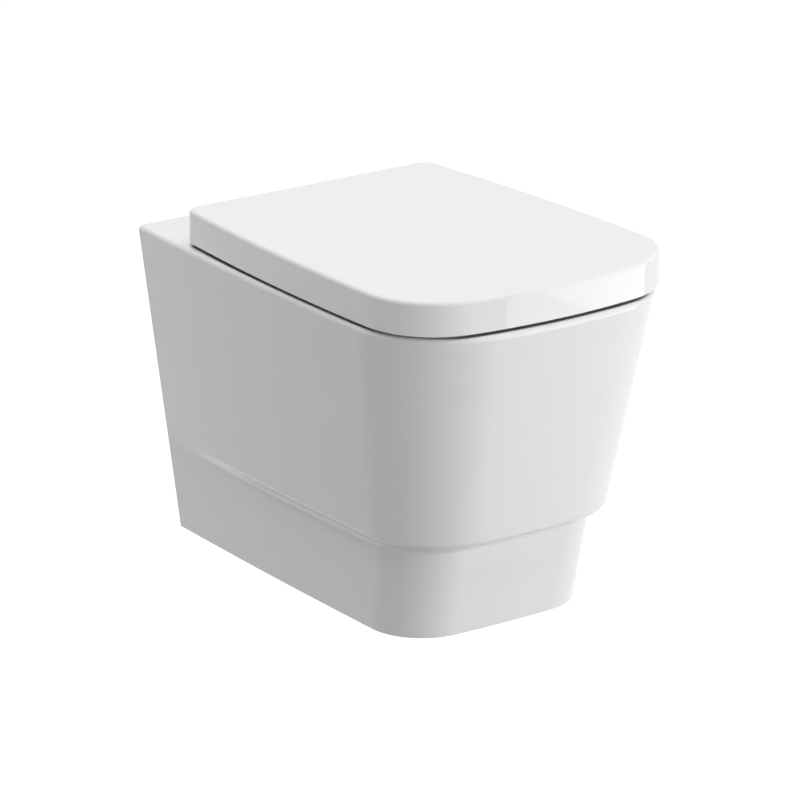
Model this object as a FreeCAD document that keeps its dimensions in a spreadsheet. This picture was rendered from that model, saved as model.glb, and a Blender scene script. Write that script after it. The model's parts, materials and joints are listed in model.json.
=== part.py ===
import FreeCAD, Part
import math
import os
import re

import Sketcher
from FreeCAD import Placement, Rotation, Vector

# Wall hung toilet with a wrap-over soft-close seat and cover.
# Millimetres, +Z up. X runs across the pan, the wall is the plane y = 0 and the pan reaches
# out of it towards -Y. The origin is midway between the two wall fixing holes.

SIZES = [
    # the pan's outside: the rim at the top, the step low down, and the base
    ("rim_height", 80, "top of the rim above the wall fixings"),
    ("pan_height", 348.3, "top of the rim to the underside"),
    ("rim_half_back", 159.4, "half width of the rim at the wall"),
    ("rim_half_wide", 175, "largest half width of the rim"),
    ("rim_wide_at", 396, "distance of the widest place from the wall"),
    ("rim_reach", 528.5, "projection of the rim from the wall"),
    ("rim_corner", 107, "radius of the rim's front corners, seen from above"),
    ("rim_front", 835, "radius of the rim's front edge, seen from above"),
    ("rim_round", 5, "rounding of the rim's outer edge"),
    ("step_drop", 235.9, "top of the rim to the upper line of the step"),
    ("step_half_wide", 142.1, "largest half width just above the step"),
    ("step_wide_at", 326, "distance of that place from the wall"),
    ("step_reach", 481, "projection just above the step"),
    ("step_corner", 86.9, "corner radius just above the step"),
    ("step_front", 831, "front radius just above the step"),
    ("ledge_rise", 11.6, "height of the step's sloping ledge between its two lines"),
    ("ledge_blend", 3.1, "height over which each end of the ledge runs out"),
    ("ledge_sections", 8, "number of equal parts in which the ledge is drawn"),
    ("foot_half_wide", 128.7, "largest half width just below the step"),
    ("foot_wide_at", 315, "distance of that place from the wall"),
    ("foot_reach", 454.6, "projection just below the step"),
    ("foot_corner", 66.2, "corner radius just below the step"),
    ("foot_front", 1386, "front radius just below the step"),
    ("base_half_back", 111.4, "half width of the base at the wall"),
    ("base_half_wide", 121.9, "largest half width of the base"),
    ("base_wide_at", 435, "distance of that place from the wall"),
    ("base_reach", 434.9, "projection of the base"),
    ("base_corner", 63.4, "corner radius of the base"),
    ("base_front", 1694, "front radius of the base"),
    ("base_round", 2, "rounding of the base's outer edge"),
    # the china
    ("skin", 11, "thickness of the outer skin"),
    ("deck_thick", 12, "thickness of the deck and of the rim's top"),
    ("bowl_wall", 9, "thickness of the bowl and of the trap"),
    ("rim_depth", 52, "height of the box rim"),
    ("rim_floor", 8, "thickness under the flushing channel"),
    ("mouth_half", 120, "half width of the mouth of the bowl"),
    ("mouth_back", 172, "distance of the mouth's rear edge from the wall"),
    ("mouth_front", 482, "distance of the mouth's front edge from the wall"),
    ("mouth_side_r", 900, "radius of the mouth's sides"),
    ("mouth_end_r", 420, "radius of the mouth's front and rear edges"),
    ("mouth_corner", 80, "corner radius of the mouth"),
    ("mouth_round", 4, "rounding of the mouth's upper edge"),
    ("lip_wall", 8, "thickness of the rim's inner wall"),
    ("channel_width", 20, "width of the flushing channel in the rim"),
    ("overhang", 14, "how far the bowl goes back under the rim"),
    ("rinse_hole_r", 2.5, "radius of the rinse holes under the rim"),
    ("rinse_holes", 26, "number of rinse holes"),
    ("deck_pocket_half", 134, "half width of the hollow under the deck"),
    ("deck_pocket_front", 134, "depth of that hollow from the wall"),
    # trap, outlet and inlet
    ("outlet_drop", 100, "outlet axis below the wall fixings"),
    ("outlet_r", 51, "outer radius of the outlet spigot"),
    ("outlet_bore_r", 42, "bore radius of the outlet spigot"),
    ("spigot_free", 58, "length of the spigot that the connector slides over"),
    ("spigot_recess", 3, "how far the spigot ends behind the wall face"),
    ("trap_r", 34, "radius of the trap's waterway"),
    ("trap_bend", 46, "bend radius of the trap's axis"),
    ("sump_drop", 218, "axis of the trap's low run below the wall fixings"),
    ("sump_deep", 35.5, "depth of the sump's floor below that axis"),
    ("sump_half", 43, "half width of the sump"),
    ("sump_back", 234, "rear of the sump, from the wall"),
    ("sump_front", 312, "front of the sump, from the wall"),
    ("sump_side_r", 60, "radius of the sump's sides and ends, seen from above"),
    ("sump_corner", 32, "corner radius of the sump, seen from above"),
    ("sump_out", 258, "front end of the trap's low run, from the wall"),
    ("dip_out", 196, "foot of the trap's rising leg, from the wall"),
    ("weir_out", 112, "top of the trap's rising leg, from the wall"),
    ("inlet_rise", 35, "inlet axis above the wall fixings"),
    ("inlet_r", 27.5, "bore radius of the inlet horn"),
    ("inlet_wall", 8.5, "wall of the inlet horn"),
    ("inlet_block_half", 44, "half width of the horn's block in the hanging plate"),
    ("inlet_depth", 48, "depth of the inlet bore"),
    ("inlet_recess", 5, "how far the horn's mouth lies behind the wall face"),
    ("feed_r", 18, "radius of the waterway through the horn"),
    ("feed_port_r", 12, "radius of the port from the horn to the rim's channel"),
    ("web_thick", 12, "thickness of the web between the horn and the trap"),
    # wall fixing
    ("fixing_gap", 180, "distance between the two wall fixings"),
    ("fixing_hole_r", 10, "radius of the fixing holes in the china"),
    ("plate_thick", 22, "thickness of the hanging plate behind the pan"),
    ("plate_below", 45, "how far the hanging plate reaches below the fixings"),
    ("fixing_bore_r", 6.5, "bore radius of the plastic sleeves"),
    ("fixing_play", 0.3, "play between sleeve and china"),
    ("sleeve_flange_r", 15, "flange radius of the sleeves"),
    ("sleeve_flange", 3, "flange thickness of the sleeves"),
    ("fixing_washer_r", 15, "washer radius"),
    ("fixing_washer", 2.5, "washer thickness"),
    ("fixing_nut_flat", 19, "nut size across flats"),
    ("fixing_nut_high", 10, "nut height"),
    ("fixing_nut_r", 6, "nominal thread radius of the nut"),
    # inlet seal
    ("seal_bore_r", 22.5, "bore of the flush pipe seal"),
    ("seal_play", 0.15, "play of the seal in the horn"),
    ("seal_length", 36, "length of the seal in the horn"),
    ("seal_straight", 29, "length of the seal before its tapered end"),
    ("seal_taper", 2, "how much thinner the seal's inner end is"),
    ("seal_lip_r", 31, "radius of the seal's lip"),
    ("seal_lip", 3, "thickness of the seal's lip"),
    # cover
    ("cover_gap", 3.1, "gap between the rim and the cover"),
    ("cover_height", 36, "height of the cover's side"),
    ("cover_back_in", 15.1, "how much narrower than the rim the cover's outline starts at the wall"),
    ("cover_side_in", 1.6, "how far the cover's widest place stays inside the rim's"),
    ("cover_wide_in", 1, "how much nearer to the wall the cover is widest"),
    ("cover_front_in", 4.3, "how far the cover's front stays behind the rim's"),
    ("cover_corner_in", 24.6, "how much smaller the cover's corner radius is than the rim's"),
    ("cover_bow_in", 151, "how much smaller the cover's front radius is than the rim's"),
    ("cover_behind", 8.7, "how far the cover reaches behind the hinge axis"),
    ("cover_back_corner", 15, "radius of the cover's rear corners"),
    ("cover_round", 4.4, "rounding of the cover's upper edge"),
    ("cover_edge", 1, "rounding of the cover's lower edge"),
    ("cover_wall", 5, "thickness of the cover"),
    ("notch_from", 50, "inner end of the cover's hinge notches"),
    ("notch_to", 106, "outer end of the cover's hinge notches"),
    # seat ring
    ("seat_gap", 2.5, "gap between the seat ring and the cover's skirt"),
    ("seat_above", 5, "underside of the seat ring above the rim"),
    ("seat_height", 19, "height of the seat ring"),
    ("seat_wall", 5, "thickness of the seat ring's skin"),
    ("seat_ahead", 23, "rear edge of the seat ring, in front of the hinge axis"),
    ("seat_over_side", 7, "how far the seat ring hangs over the mouth on each side"),
    ("seat_over_back", 8, "how far it hangs over the mouth's rear edge"),
    ("seat_over_front", 14, "how far it hangs over the mouth's front edge"),
    ("seat_round", 6, "rounding of the seat ring's upper edges"),
    ("seat_notch_from", 62, "inner end of the seat's hinge notches"),
    ("seat_notch_to", 105, "outer end of the seat's hinge notches"),
    # hinge arms on the deck
    ("axis_out", 92.7, "hinge axis, from the wall"),
    ("axis_rise", 22, "hinge axis above the rim"),
    ("hinge_gap", 156, "distance between the two hinge bolts"),
    ("arm_width", 24, "width of a hinge arm"),
    ("arm_r", 9, "radius of the arm's barrel"),
    ("foot_from", 10, "rear of the arm's foot, in front of the axis"),
    ("foot_to", 38, "front of the arm's foot, in front of the axis"),
    ("foot_thick", 5, "thickness of the arm's foot"),
    ("neck_half", 8, "half height of the arm's neck at the axis"),
    ("neck_thick", 5, "thickness of the arm's neck"),
    ("neck_slope", 2, "how much the neck spreads towards the foot"),
    ("bolt_out", 24, "hinge bolt, in front of the axis"),
    ("pad_thick", 1.5, "thickness of the rubber pad under the foot"),
    # lugs, pins and dampers
    ("lug_r", 8, "radius of the hinge lugs"),
    ("lug_width", 12, "width of a hinge lug"),
    ("side_play", 0.5, "gap between arm and lug"),
    ("lug_plate", 4, "thickness of a lug's plate"),
    ("lug_neck", 12.8, "length of the neck between the cover's lug and its plate"),
    ("lid_lug_reach", 34, "length of the cover's lug plate in front of the axis"),
    ("lid_screw_out", 14, "first screw of the cover's lug, in front of the axis"),
    ("lid_screw_gap", 12, "distance between the two screws of the cover's lug"),
    ("seat_lug_reach", 66, "length of the seat's lug plate in front of the axis"),
    ("seat_screw_out", 40, "first screw of the seat's lug, in front of the axis"),
    ("seat_screw_gap", 16, "distance between the two screws of the seat's lug"),
    ("pin_r", 3, "radius of hinge pins and damper shafts"),
    ("pin_play", 0.05, "running play of the pins"),
    ("pin_end", 0.3, "how far a pin or shaft stays inside the lug's outer face"),
    ("shaft_flat", 4.8, "width across the flats of the damper shafts"),
    ("damper_r", 6.5, "radius of the soft-close dampers"),
    ("damper_length", 17.5, "length of the soft-close dampers"),
    ("damper_bore", 12, "depth of the shaft in the damper"),
    ("damper_end", 0.2, "play at the damper's inner end and at its mouth"),
    # hinge bolts
    ("bolt_r", 3, "radius of the hinge bolts"),
    ("bolt_play", 0.2, "play round the hinge bolts"),
    ("bolt_head_r", 6, "head radius of the hinge bolts"),
    ("bolt_head", 5, "head height of the hinge bolts"),
    ("bolt_key", 5, "hexagon socket of the hinge bolts, across flats"),
    ("bolt_key_deep", 3, "depth of that socket"),
    ("bolt_length", 40, "length of the hinge bolts under the head"),
    ("deck_hole_r", 8, "radius of the seat holes in the deck"),
    ("plug_play", 0.2, "play of the expanding plug in its hole"),
    ("plug_length", 26, "length of the expanding plug below the rim"),
    ("plug_nut_flat", 12, "plug nut across flats"),
    ("plug_nut_high", 6, "height of the plug nut"),
    # screws and buffers
    ("screw_r", 2, "radius of the lug screws"),
    ("screw_head_r", 3.6, "head radius of the lug screws"),
    ("screw_head", 2.2, "head height of the lug screws"),
    ("screw_bite", 3.4, "depth of the lug screws in the plastic"),
    ("buffer_r", 9, "radius of the seat buffers"),
    ("buffer_taper", 1.5, "how much narrower the foot of a seat buffer is"),
    ("buffer_stem_r", 3, "radius of the buffers' stems"),
    ("buffer_stem", 7, "length of the seat buffers' stems"),
    ("buffer_play", 0.3, "gap under a buffer of the closed seat"),
    ("boss_r", 7, "radius of the bosses that hold the seat buffers"),
    ("boss_lift", 0.5, "how far a boss ends above the seat's underside"),
    ("buffer_front", 440, "front buffers, from the wall"),
    ("buffer_rear", 215, "rear buffers, from the wall"),
    ("buffer_inset", 27, "buffers, inwards from the cover's side"),
    ("lid_buffer_r", 6.5, "radius of the cover's buffers"),
    ("lid_buffer_taper", 1, "how much narrower the foot of a cover's buffer is"),
    ("lid_stem", 2.8, "length of the cover buffers' stems"),
    # making
    ("over", 1, "how far a cutting shape starts outside what it cuts"),
    ("spare", 0.2, "depth left free under a screw or stem"),
]

DERIVED = [
    # heights above the wall fixings
    ("base_z", "rim_height - pan_height", "underside of the pan"),
    ("ledge_low", "rim_height - step_drop - ledge_rise - ledge_blend", "where the foot turns into the ledge"),
    ("ledge_high", "rim_height - step_drop + ledge_blend", "where the ledge turns into the upper body"),
    ("ledge_part", "(ledge_high - ledge_low) / ledge_sections", "height of one part of the ledge"),
    ("under_rim", "rim_height - rim_depth", "underside of the box rim"),
    ("channel_z", "(under_rim + rim_floor + rim_height - deck_thick) / 2", "middle of the rim's channel"),
    ("cover_low", "rim_height + cover_gap", "lower edge of the cover"),
    ("cover_top", "cover_low + cover_height", "top of the cover"),
    ("cover_under", "cover_top - cover_wall", "underside of the cover's top"),
    ("seat_low", "rim_height + seat_above", "underside of the seat ring"),
    ("seat_top", "seat_low + seat_height", "top of the seat ring"),
    ("seat_under", "seat_top - seat_wall", "ceiling of the seat ring's hollow"),
    ("axis_z", "rim_height + axis_rise", "hinge axis"),
    ("pad_top", "rim_height + pad_thick", "underside of the arm's foot"),
    ("foot_top", "pad_top + foot_thick", "top of the arm's foot"),
    ("plug_low", "rim_height - plug_length - spare", "lower end of the expanding plug"),
    # places from the wall, towards -Y
    ("axis_y", "-axis_out", "hinge axis"),
    ("bolt_y", "-axis_out - bolt_out", "hinge bolts and seat holes"),
    ("cover_back", "axis_out - cover_behind", "rear of the cover, from the wall"),
    ("seat_back", "axis_out + seat_ahead", "rear edge of the seat ring, from the wall"),
    # the cover's outline follows the rim's, the seat's opening the mouth's
    ("cover_half_back", "rim_half_back - cover_back_in", "half width of the cover's outline at the wall"),
    ("cover_half_wide", "rim_half_wide - cover_side_in", "largest half width of the cover"),
    ("cover_wide_at", "rim_wide_at - cover_wide_in", "distance of that place from the wall"),
    ("cover_reach", "rim_reach - cover_front_in", "front of the cover, from the wall"),
    ("cover_corner", "rim_corner - cover_corner_in", "corner radius of the cover"),
    ("cover_front", "rim_front - cover_bow_in", "front radius of the cover"),
    ("seat_hole_half", "mouth_half - seat_over_side", "half width of the seat's opening"),
    ("seat_hole_back", "mouth_back + seat_over_back", "rear of the seat's opening, from the wall"),
    ("seat_hole_front", "mouth_front - seat_over_front", "front of the seat's opening, from the wall"),
    # half widths
    ("arm_inner", "(hinge_gap - arm_width) / 2", "inner face of a hinge arm"),
    ("arm_outer", "(hinge_gap + arm_width) / 2", "outer face of a hinge arm"),
    ("plate_half_top", "rim_half_back - skin / 2 - 1", "half width of the hanging plate at the deck"),
    ("plate_share", "(rim_height + plate_below) / pan_height", "share of the pan's height above its lower edge"),
    ("plate_half_low", "rim_half_back - (rim_half_back - base_half_back) * plate_share - skin / 2",
     "half width of the hanging plate at its lower edge"),
]

doc = FreeCAD.newDocument("WallHungToilet")
sheet = doc.addObject("Spreadsheet::Sheet", "Sizes")
for row, (alias, number, note) in enumerate(SIZES + DERIVED, start=1):
    sheet.set(f"A{row}", alias)
    sheet.set(f"B{row}", f"={number}")
    sheet.set(f"C{row}", note)
    sheet.setAlias(f"B{row}", alias)
doc.recompute()


class Values:
    """The sheet's numbers, read by alias."""

    def __getattr__(self, alias):
        return float(sheet.get(alias))


S = Values()
ALIASES = {alias for alias, _, _ in SIZES + DERIVED}
SIDES = (("Left", "-1"), ("Right", "1"))
CLOSE = 0.01
PARTS = {}


def bound(text):
    """An expression in the sheet's words, with each word led back to its cell."""
    return re.sub(r"[A-Za-z_]\w*", lambda m: f"Sizes.{m[0]}" if m[0] in ALIASES else m[0], text)


def bind(obj, **expressions):
    for path, text in expressions.items():
        obj.setExpression(path.replace("__", "."), bound(text))


# ---------------------------------------------------------------- plan outlines

def meet(c1, r1, c2, r2, lower):
    """The lower, or else the upper, of the two points at r1 from c1 and r2 from c2."""
    reach = (c2 - c1).Length
    along = (r1 ** 2 - r2 ** 2 + reach ** 2) / (2 * reach)
    off = math.sqrt(r1 ** 2 - along ** 2)
    ahead = (c2 - c1).normalize()
    beside = Vector(ahead.y, -ahead.x, 0)
    both = [c1 + ahead * along + beside * off, c1 + ahead * along - beside * off]
    return (min if lower else max)(both, key=lambda p: p.y)


def turn(centre, point):
    """Angle at which a point is seen from a centre."""
    return math.atan2(point.y - centre.y, point.x - centre.x)


def flip(p):
    return Vector(-p.x, p.y, 0)


def arc(centre, r, a, b):
    return Part.ArcOfCircle(Part.Circle(centre, Vector(0, 0, 1), r), a, b)


class Outline:
    """Outline about the Y axis of tangent arcs: a long arc on each side, two corners and a front arc."""

    def __init__(self, half_back, half_wide, wide_at, reach, corner, front):
        swell = half_wide - half_back
        self.side_r = (swell ** 2 + wide_at ** 2) / (2 * swell)
        self.corner_r, self.front_r = corner, front
        self.side_c = Vector(half_wide - self.side_r, -wide_at, 0)
        self.front_c = Vector(0, -reach + front, 0)
        self.corner_c = meet(self.side_c, self.side_r - corner, self.front_c, front - corner, True)

    def edges(self, inset=0.0, back=0.0):
        """Closed outline as sketch geometry, drawn in by an inset, its straight rear edge at y = back."""
        side_r, corner_r, front_r = self.side_r - inset, self.corner_r - inset, self.front_r - inset
        start = math.asin((back - self.side_c.y) / side_r)
        side, front = turn(self.side_c, self.corner_c), turn(self.front_c, self.corner_c)
        rear_x = self.side_c.x + side_r * math.cos(start)
        return [arc(self.side_c, side_r, side, start),
                arc(self.corner_c, corner_r, front, side),
                arc(self.front_c, front_r, -math.pi - front, front),
                arc(flip(self.corner_c), corner_r, -math.pi - side, -math.pi - front),
                arc(flip(self.side_c), side_r, math.pi - start, math.pi - side),
                Part.LineSegment(Vector(-rear_x, back, 0), Vector(rear_x, back, 0))]

    def half_width(self, y):
        return self.side_c.x + math.sqrt(self.side_r ** 2 - (y - self.side_c.y) ** 2)


def ring_edges(half, rear, front, side_r, end_r, corner, grow=0.0):
    """Closed rounded outline about the Y axis: two sides, two ends and four corners, all tangent arcs."""
    side_c = Vector(half - side_r, -(rear + front) / 2, 0)
    front_c, rear_c = Vector(0, -front + end_r, 0), Vector(0, -rear - end_r, 0)
    low = meet(side_c, side_r - corner, front_c, end_r - corner, True)
    high = meet(side_c, side_r - corner, rear_c, end_r - corner, False)
    side_low, side_high = turn(side_c, low), turn(side_c, high)
    front, back = turn(front_c, low), turn(rear_c, high)
    side, end, bend = side_r + grow, end_r + grow, corner + grow
    return [arc(side_c, side, side_low, side_high),
            arc(low, bend, front, side_low),
            arc(front_c, end, -math.pi - front, front),
            arc(flip(low), bend, math.pi - side_low, math.pi - front),
            arc(flip(side_c), side, math.pi - side_high, math.pi - side_low),
            arc(flip(high), bend, math.pi - back, math.pi - side_high),
            arc(rear_c, end, back, math.pi - back),
            arc(high, bend, side_high, back)]


# ---------------------------------------------------------------- bodies and sketches

def helper_body(name):
    """A body that only shapes another piece."""
    return doc.addObject("PartDesign::Body", name)


def new_body(name):
    """The body of a piece of its own."""
    body = helper_body(name)
    body.Label = name
    PARTS[name] = body
    return body


def sketch(body, name, role="XY_Plane", lift="0"):
    """An empty sketch on one of the body's own planes, raised along the plane's normal by an expression."""
    plane = next(o for o in body.Origin.OriginFeatures if o.Role == role)
    sk = body.newObject("Sketcher::SketchObject", name)
    sk.AttachmentSupport = (plane, [""])
    sk.MapMode = "FlatFace"
    sk.setExpression(".AttachmentOffset.Base.z", bound(lift))
    return sk


def draw(sk, edges):
    """Adds closed outlines to a sketch and joins their ends."""
    first = sk.GeometryCount
    sk.addGeometry(edges, False)
    ends = [(i, pos, sk.getPoint(i, pos)) for i in range(first, sk.GeometryCount) for pos in (1, 2)]
    while ends:
        i, pos, p = ends.pop()
        j, other, q = min(ends, key=lambda end: (end[2] - p).Length)
        ends.remove((j, other, q))
        sk.addConstraint(Sketcher.Constraint("Coincident", i, pos, j, other))
    return sk


def hold(sk, text, *constraint):
    """Adds a dimension to a sketch and binds it to an expression."""
    n = sk.addConstraint(Sketcher.Constraint(*constraint))
    sk.setExpression(f"Constraints[{n}]", bound(text))


def circle(sk, r, x="0", y="0"):
    """A circle whose radius and centre are bound to the sheet."""
    i = sk.addGeometry(Part.Circle(Vector(), Vector(0, 0, 1), 10), False)
    hold(sk, r, "Radius", i, 10)
    for kind, text, axis in (("DistanceX", x, -2), ("DistanceY", y, -1)):
        if text == "0":
            sk.addConstraint(Sketcher.Constraint("PointOnObject", i, 3, axis))
        else:
            hold(sk, text, kind, -1, 1, i, 3, 0.0)
    return sk


def polygon(sk, points):
    """A closed polygon through points whose coordinates are expressions."""
    first, count = sk.GeometryCount, len(points)
    angles = [-2 * math.pi * k / count for k in range(count + 1)]
    rough = [Vector(10 * math.cos(a), 10 * math.sin(a), 0) for a in angles]
    for start, end in zip(rough, rough[1:]):
        sk.addGeometry(Part.LineSegment(start, end), False)
    for k in range(count):
        sk.addConstraint(Sketcher.Constraint("Coincident", first + k, 2, first + (k + 1) % count, 1))
    for k, (x, y) in enumerate(points):
        hold(sk, x, "DistanceX", -1, 1, first + k, 1, 1.0)
        hold(sk, y, "DistanceY", -1, 1, first + k, 1, 1.0)
    return sk


def rectangle(sk, x1, y1, x2, y2):
    return polygon(sk, [(x1, y1), (x2, y1), (x2, y2), (x1, y2)])


def loft(body, kind, name, sections, ruled):
    feature = body.newObject(f"PartDesign::{kind}Loft", name)
    feature.Profile = sections[0]
    feature.Sections = sections[1:]
    feature.Ruled = ruled
    for section in sections:
        section.Visibility = False
    return feature


def pad(body, sk, length):
    """Adds material from the sketch along its normal."""
    feature = body.newObject("PartDesign::Pad", sk.Name + "Pad")
    feature.Profile = sk
    bind(feature, Length=length)
    return feature


def pocket(body, sk, length, up=True):
    """Cuts from the sketch along its normal, or against it where up is not set."""
    feature = body.newObject("PartDesign::Pocket", sk.Name + "Pocket")
    feature.Profile = sk
    feature.Reversed = up
    bind(feature, Length=length)
    return feature


def fillet(body, name, radius, chosen):
    """Rounds the edges of the body's tip for which chosen(edge) holds."""
    doc.recompute()
    tip = body.Tip
    names = [f"Edge{i}" for i, edge in enumerate(tip.Shape.Edges, start=1) if chosen(edge)]
    feature = body.newObject("PartDesign::Fillet", name)
    feature.Base = (tip, names)
    bind(feature, Radius=radius)
    return feature


def lies_at(edge, axis, value):
    """True if both ends of an edge have this coordinate."""
    return all(abs(getattr(v, axis) - value) < CLOSE for v in edge.Vertexes)


def upright(edge):
    return abs(edge.tangentAt(edge.FirstParameter).z) > 0.9


# ---------------------------------------------------------------- trees of solids

def join(name, *pieces):
    feature = doc.addObject("Part::MultiFuse", name)
    feature.Shapes = list(pieces)
    return feature


def common(name, *pieces):
    feature = doc.addObject("Part::MultiCommon", name)
    feature.Shapes = list(pieces)
    return feature


def less(name, base, *tools):
    """A piece with one or more others cut out of it."""
    feature = doc.addObject("Part::Cut", name)
    feature.Base = base
    feature.Tool = tools[0] if len(tools) == 1 else join(name + "Tools", *tools)
    return feature


def cylinder(name, radius, length, x="0", y="0", z="0", along="Z"):
    """A round bar that starts at the given point and runs along +Z, +X or -Y."""
    turns = {"Z": Rotation(), "X": Rotation(Vector(0, 1, 0), 90), "-Y": Rotation(Vector(1, 0, 0), 90)}
    solid = doc.addObject("Part::Cylinder", name)
    solid.Placement = Placement(Vector(), turns[along])
    bind(solid, Radius=radius, Height=length, Placement__Base__x=x, Placement__Base__y=y, Placement__Base__z=z)
    return solid


def block(name, length, width, height, x, y, z):
    """A box that starts at its lowest corner."""
    solid = doc.addObject("Part::Box", name)
    bind(solid, Length=length, Width=width, Height=height,
         Placement__Base__x=x, Placement__Base__y=y, Placement__Base__z=z)
    return solid


def cone(name, low_r, high_r, height, x, y, z):
    solid = doc.addObject("Part::Cone", name)
    bind(solid, Radius1=low_r, Radius2=high_r, Height=height,
         Placement__Base__x=x, Placement__Base__y=y, Placement__Base__z=z)
    return solid


def hexagon(name, flats, height, x="0", y="0", z="0", along="Z"):
    """A six-sided prism of a given size across its flats, along +Z or -Y."""
    solid = doc.addObject("Part::Prism", name)
    solid.Polygon = 6
    solid.Placement = Placement(Vector(), Rotation() if along == "Z" else Rotation(Vector(1, 0, 0), 90))
    bind(solid, Circumradius=f"{flats} / 2 / cos(30)", Height=height,
         Placement__Base__x=x, Placement__Base__y=y, Placement__Base__z=z)
    return solid


def piece(name, *solids):
    """A node: one solid, or several alike that stay apart."""
    if len(solids) == 1:
        node = solids[0]
    else:
        node = doc.addObject("Part::Compound", name)
        node.Links = list(solids)
    node.Label = name
    PARTS[name] = node


# ---------------------------------------------------------------- pan

def mix(a, b, t):
    return a + (b - a) * t


def mixed(one, other, t):
    return [mix(a, b, t) for a, b in zip(one, other)]


def form(level):
    """The sheet's five numbers for the pan's outline at its rim, step, foot or base."""
    return [getattr(S, f"{level}_{word}") for word in ("half_wide", "wide_at", "reach", "corner", "front")]


def pan_outline(z):
    """The pan's outline at a height: the flared upper body, the slimmer foot, and the soft ledge between."""
    step = S.rim_height - S.step_drop
    ledge = step - S.ledge_rise
    back = mix(S.base_half_back, S.rim_half_back, (z - S.base_z) / S.pan_height)
    upper = mixed(form("step"), form("rim"), (z - step) / S.step_drop)
    lower = mixed(form("base"), form("foot"), (z - S.base_z) / (ledge - S.base_z))
    t = min(max((z - S.ledge_low) / (S.ledge_high - S.ledge_low), 0), 1)
    return Outline(back, *mixed(lower, upper, t * t * (3 - 2 * t)))


def mouth_form(grow=0.0):
    """The mouth of the bowl, or an outline at an even distance round it."""
    return ring_edges(S.mouth_half, S.mouth_back, S.mouth_front, S.mouth_side_r, S.mouth_end_r,
                      S.mouth_corner, grow)


def bowl_sections(lift=0.0, drop=0.0):
    """Heights and outlines of the bowl from under the rim to the sump's floor, its ends moved apart if asked."""
    mouth = (S.mouth_half + S.overhang, S.mouth_back - S.overhang, S.mouth_front + S.overhang,
             S.mouth_side_r + S.overhang, S.mouth_end_r + S.overhang, S.mouth_corner + S.overhang)
    sump = (S.sump_half, S.sump_back, S.sump_front, S.sump_side_r, S.sump_side_r, S.sump_corner)
    # share of the way down, then shares of the way in for half width, rear, front, side, end and corner
    walls = [(0, 0, 0, 0, 0, 0, 0),
             (0.20, 0.10, 0.07, 0.12, 0.35, 0.35, 0.12),
             (0.42, 0.34, 0.21, 0.36, 0.60, 0.60, 0.36),
             (0.60, 0.64, 0.40, 0.64, 0.80, 0.80, 0.62),
             (0.75, 0.86, 0.61, 0.86, 0.92, 0.92, 0.82),
             (0.88, 0.965, 0.84, 0.96, 0.97, 0.97, 0.95),
             (1, 1, 1, 1, 1, 1, 1)]
    for down, *shares in walls:
        z = mix(S.under_rim, -S.sump_drop, down) + (lift if down == 0 else 0)
        yield z, [mix(a, b, t) for a, b, t in zip(mouth, sump, shares)]
    # share of the floor's depth, then how much smaller the outline is there
    for deep, smaller in ((0.62, 0.14), (1, 0.45)):
        inwards = smaller * S.sump_half
        keep = 1 - smaller
        z = -S.sump_drop - S.sump_deep * deep - (drop if deep == 1 else 0)
        yield z, [S.sump_half * keep, S.sump_back + inwards, S.sump_front - inwards,
                  S.sump_side_r * keep, S.sump_side_r * keep, S.sump_corner * keep]


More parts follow.
